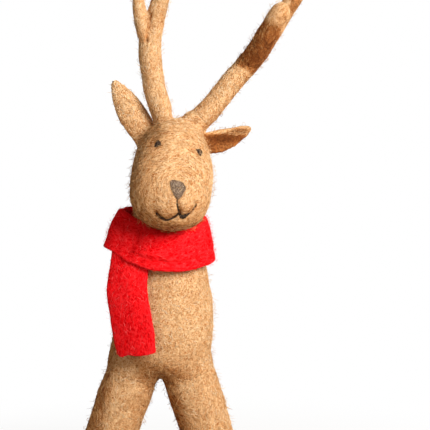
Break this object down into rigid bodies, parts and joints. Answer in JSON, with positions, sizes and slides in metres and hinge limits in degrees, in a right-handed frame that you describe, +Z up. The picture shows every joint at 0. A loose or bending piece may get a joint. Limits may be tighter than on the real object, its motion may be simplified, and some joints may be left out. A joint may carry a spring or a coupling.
{
  "type": "felt reindeer",
  "caption": "Standing reindeer of needle-felted wool on bent wire, with bendable legs, head, ears and forked antlers and a felt scarf round its neck.",
  "frame": {"origin": "middle of the bounding box in plan, on the surface that the feet stand on", "axes": "+Z up, -Y the way the reindeer faces, +X its own left side"},
  "size_m": [0.123, 0.1678, 0.2995],
  "materials": {
    "wool": "needle-felted camel wool, matt, with loose fibres",
    "dark_wool": "needle-felted dark grey-brown wool, matt",
    "red_felt": "pressed red wool felt, matt, slightly fuzzy",
    "wire": "bare soft steel wire, hidden in the wool"
  },
  "bodies": {
    "trunk": {"chest": "wool", "barrel": "wool", "spine_wire": "wire"},
    "neck": {"neck": "wool", "neck_wire": "wire", "scarf_wrap": "red_felt"},
    "head": {"head": "wool", "nose": "dark_wool", "eye_right": "dark_wool", "eye_left": "dark_wool", "mouth_right": "dark_wool", "mouth_left": "dark_wool"},
    "ear_right": {"ear_right": "wool"},
    "ear_left": {"ear_left": "wool"},
    "antler_right": {"antler_right": "wool", "antler_right_wire": "wire", "antler_right_tine": "wool", "antler_right_tine_wire": "wire"},
    "antler_left": {"antler_left": "wool", "antler_left_wire": "wire", "antler_left_tine": "wool", "antler_left_tine_wire": "wire"},
    "leg_front_right": {"leg_front_right": "wool", "leg_front_right_wire": "wire"},
    "leg_front_left": {"leg_front_left": "wool", "leg_front_left_wire": "wire"},
    "leg_hind_right": {"leg_hind_right": "wool", "leg_hind_right_wire": "wire"},
    "leg_hind_left": {"leg_hind_left": "wool", "leg_hind_left_wire": "wire"},
    "tail": {"tail": "wool"},
    "scarf_end": {"scarf_end": "red_felt"}
  },
  "joints": [
    {"name": "neck_turn", "type": "hinge", "parent": "trunk", "child": "neck", "pos_m": [-0.01267, -0.04137, 0.15], "axis": [0, 0, 1], "range_deg": [-20, 20]},
    {"name": "head_nod", "type": "hinge", "parent": "neck", "child": "head", "pos_m": [-0.01267, -0.04137, 0.179], "axis": [1, 0, 0], "range_deg": [-12, 0]},
    {"name": "ear_right_bend", "type": "hinge", "parent": "head", "child": "ear_right", "pos_m": [-0.02066, -0.04539, 0.21118], "axis": [0.8368, 0.251, 0.4865], "range_deg": [-14, 6]},
    {"name": "ear_left_bend", "type": "hinge", "parent": "head", "child": "ear_left", "pos_m": [0.00613, -0.04539, 0.20858], "axis": [0.2258, -0.4823, 0.8464], "range_deg": [-14, 14]},
    {"name": "antler_right_bend", "type": "hinge", "parent": "head", "child": "antler_right", "pos_m": [-0.01167, -0.04635, 0.21948], "axis": [1, 0, 0], "range_deg": [-12, 12]},
    {"name": "antler_left_bend", "type": "hinge", "parent": "head", "child": "antler_left", "pos_m": [0.00192, -0.04635, 0.21751], "axis": [1, 0, 0], "range_deg": [-12, 12]},
    {"name": "leg_front_right_bend", "type": "hinge", "parent": "trunk", "child": "leg_front_right", "pos_m": [-0.02867, -0.04337, 0.09299], "axis": [1, 0, 0], "range_deg": [-10, 10]},
    {"name": "leg_front_left_bend", "type": "hinge", "parent": "trunk", "child": "leg_front_left", "pos_m": [-0.00087, -0.04337, 0.09299], "axis": [1, 0, 0], "range_deg": [-10, 10]},
    {"name": "leg_hind_right_bend", "type": "hinge", "parent": "trunk", "child": "leg_hind_right", "pos_m": [-0.03027, 0.04655, 0.10093], "axis": [1, 0, 0], "range_deg": [-10, 10]},
    {"name": "leg_hind_left_bend", "type": "hinge", "parent": "trunk", "child": "leg_hind_left", "pos_m": [-0.00507, 0.04655, 0.10093], "axis": [1, 0, 0], "range_deg": [-10, 10]},
    {"name": "tail_bend", "type": "hinge", "parent": "trunk", "child": "tail", "pos_m": [-0.01767, 0.06879, 0.11856], "axis": [0, 0, 1], "range_deg": [-20, 20]},
    {"name": "scarf_end_swing", "type": "hinge", "parent": "neck", "child": "scarf_end", "pos_m": [-0.02968, -0.06314, 0.148], "axis": [-0.9135, 0.4067, 0], "range_deg": [0, 50]}
  ]
}
